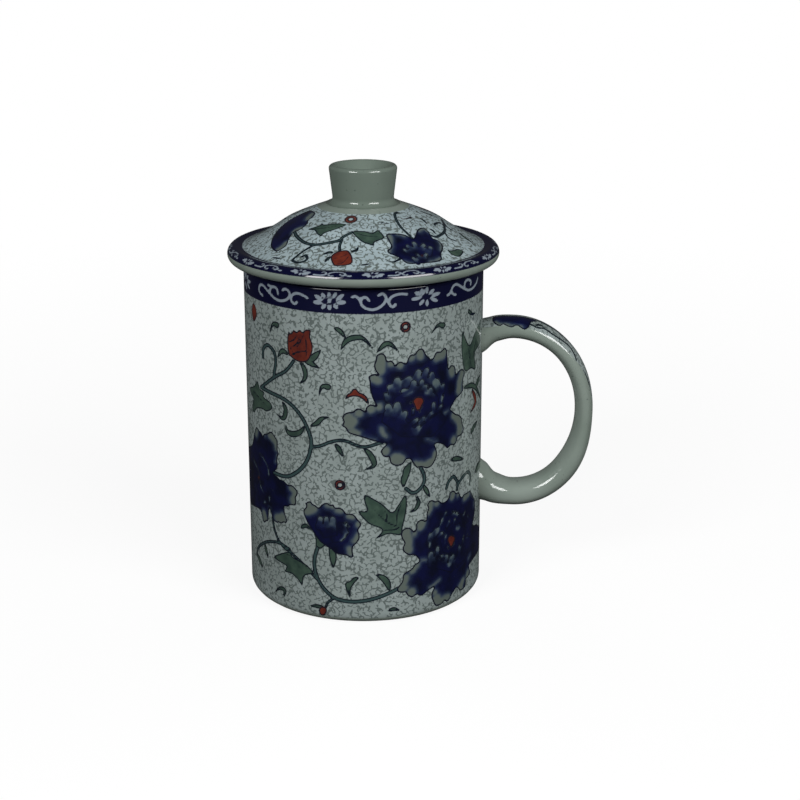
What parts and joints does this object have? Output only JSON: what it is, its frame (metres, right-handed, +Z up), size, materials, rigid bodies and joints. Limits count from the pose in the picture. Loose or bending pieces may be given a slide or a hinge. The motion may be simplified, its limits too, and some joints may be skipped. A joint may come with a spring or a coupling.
{
  "type": "lidded mug with infuser",
  "caption": "Straight-sided porcelain tea mug with a loop handle, a lift-out perforated infuser basket and a lift-off domed lid with a knob.",
  "frame": {"origin": "centre of the plane that the mug's foot ring rests on, on the mug's axis", "axes": "+Z up along the mug's axis towards the lid's knob; +X out along the handle; +Y to the left of the handle seen from above"},
  "size_m": [0.1231, 0.0904, 0.1464],
  "materials": {
    "printed_porcelain": "glossy glaze over a printed peony scroll on a pale vermicular ground",
    "lid_porcelain": "glossy glaze over a printed peony scroll with a navy border",
    "handle_porcelain": "glossy celadon glaze with a printed flower on the outside",
    "plain_porcelain": "glossy plain celadon glaze"
  },
  "bodies": {
    "mug": {"mug_body": "printed_porcelain", "mug_handle": "handle_porcelain"},
    "infuser": {"infuser": "plain_porcelain"},
    "lid": {"lid": "lid_porcelain", "lid_knob": "plain_porcelain"}
  },
  "joints": [
    {"name": "infuser_lift", "type": "slide", "parent": "mug", "child": "infuser", "axis": [0, 0, 1], "range_m": [0, 0.08]},
    {"name": "lid_lift", "type": "slide", "parent": "infuser", "child": "lid", "axis": [0, 0, 1], "range_m": [0, 0.045]}
  ]
}
